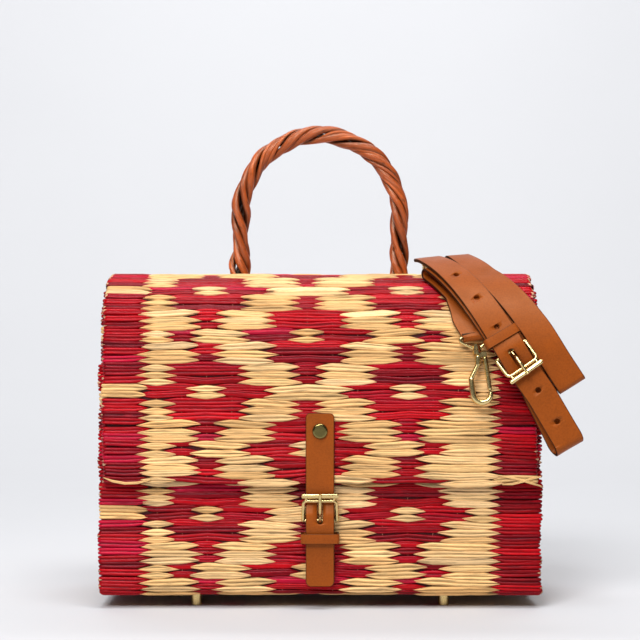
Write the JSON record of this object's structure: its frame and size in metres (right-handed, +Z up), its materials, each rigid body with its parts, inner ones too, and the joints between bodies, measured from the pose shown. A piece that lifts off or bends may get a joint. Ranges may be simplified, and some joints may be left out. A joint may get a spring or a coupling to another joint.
{
  "type": "basket box bag",
  "caption": "Top-handle box bag of folded reed mat with a buckled flap lid, twisted willow handle and a coiled leather shoulder strap with snap hooks.",
  "frame": {"origin": "on the floor at the centre of the basket box", "axes": "+X to the right seen from the front, +Y to the back, +Z up"},
  "size_m": [0.3393, 0.1504, 0.3457],
  "materials": {
    "reed_mat": "split reed, natural straw and dyed red, slightly glossy",
    "willow": "stained and varnished willow rod",
    "tan_leather": "smooth vegetable-tanned leather with dark edges",
    "pale_brass": "polished pale brass plating"
  },
  "bodies": {
    "basket": {"basket_mat": "reed_mat", "side_panel_left": "reed_mat", "side_panel_right": "reed_mat", "foot_front_left": "pale_brass", "foot_front_right": "pale_brass", "foot_back_left": "pale_brass", "foot_back_right": "pale_brass", "foot_washers": "pale_brass", "closure_chape": "tan_leather", "chape_rivets": "pale_brass", "closure_keeper": "tan_leather"},
    "lid": {"lid_mat": "reed_mat", "handle_rod_1": "willow", "handle_rod_2": "willow", "handle_rod_3": "willow", "handle_rod_4": "willow", "closure_strap": "tan_leather", "closure_rivet": "pale_brass", "closure_rivet_washer": "pale_brass", "strap_long": "tan_leather", "strap_short": "tan_leather", "strap_keeper": "tan_leather", "front_snap_eye": "pale_brass", "rear_snap_eye": "pale_brass"},
    "closure_buckle": {"closure_buckle_frame": "pale_brass"},
    "closure_prong": {"closure_buckle_prong": "pale_brass"},
    "strap_buckle": {"strap_buckle_frame": "pale_brass"},
    "strap_prong": {"strap_buckle_prong": "pale_brass"},
    "front_hook": {"front_snap_hook": "pale_brass"},
    "front_gate": {"front_snap_gate": "pale_brass"},
    "rear_hook": {"rear_snap_hook": "pale_brass"},
    "rear_gate": {"rear_snap_gate": "pale_brass"}
  },
  "joints": [
    {"name": "lid_hinge", "type": "hinge", "parent": "basket", "child": "lid", "pos_m": [0, 0.0595, 0.2345], "axis": [-1, 0, 0], "range_deg": [0, 110], "deforming": ["closure_strap"]},
    {"name": "closure_buckle_hinge", "type": "hinge", "parent": "basket", "child": "closure_buckle", "pos_m": [0, -0.0653, 0.0628], "axis": [1, 0, 0], "range_deg": [0, 25]},
    {"name": "closure_prong_hinge", "type": "hinge", "parent": "closure_buckle", "child": "closure_prong", "pos_m": [0, -0.0653, 0.0628], "axis": [1, 0, 0], "range_deg": [0, 40]},
    {"name": "strap_buckle_hinge", "type": "hinge", "parent": "lid", "child": "strap_buckle", "pos_m": [0.13189, -0.07726, 0.18145], "axis": [-0.8186, 0, -0.5744], "range_deg": [0, 25], "deforming": ["strap_long"]},
    {"name": "strap_prong_hinge", "type": "hinge", "parent": "strap_buckle", "child": "strap_prong", "pos_m": [0.13189, -0.07726, 0.18145], "axis": [-0.8186, 0, -0.5744], "range_deg": [0, 35]},
    {"name": "front_hook_swivel", "type": "hinge", "parent": "lid", "child": "front_hook", "pos_m": [0.10885, -0.07271, 0.18222], "axis": [-0.121, 0.1219, 0.9851], "range_deg": [-12, 12]},
    {"name": "front_gate_hinge", "type": "hinge", "parent": "front_hook", "child": "front_gate", "pos_m": [0.11408, -0.07317, 0.17906], "axis": [0.0149, 0.9925, -0.121], "range_deg": [0, 12], "stiffness_Nm_per_rad": 0.02, "springref_deg": -20.05},
    {"name": "rear_hook_swivel", "type": "hinge", "parent": "lid", "child": "rear_hook", "pos_m": [0.09745, 0.01881, 0.24106], "axis": [0.3875, -0.9204, -0.0523], "range_deg": [-12, 12]},
    {"name": "rear_gate_hinge", "type": "hinge", "parent": "rear_hook", "child": "rear_gate", "pos_m": [0.09155, 0.02045, 0.24126], "axis": [-0.0203, 0.0482, -0.9986], "range_deg": [0, 12], "stiffness_Nm_per_rad": 0.02, "springref_deg": -20.05}
  ]
}
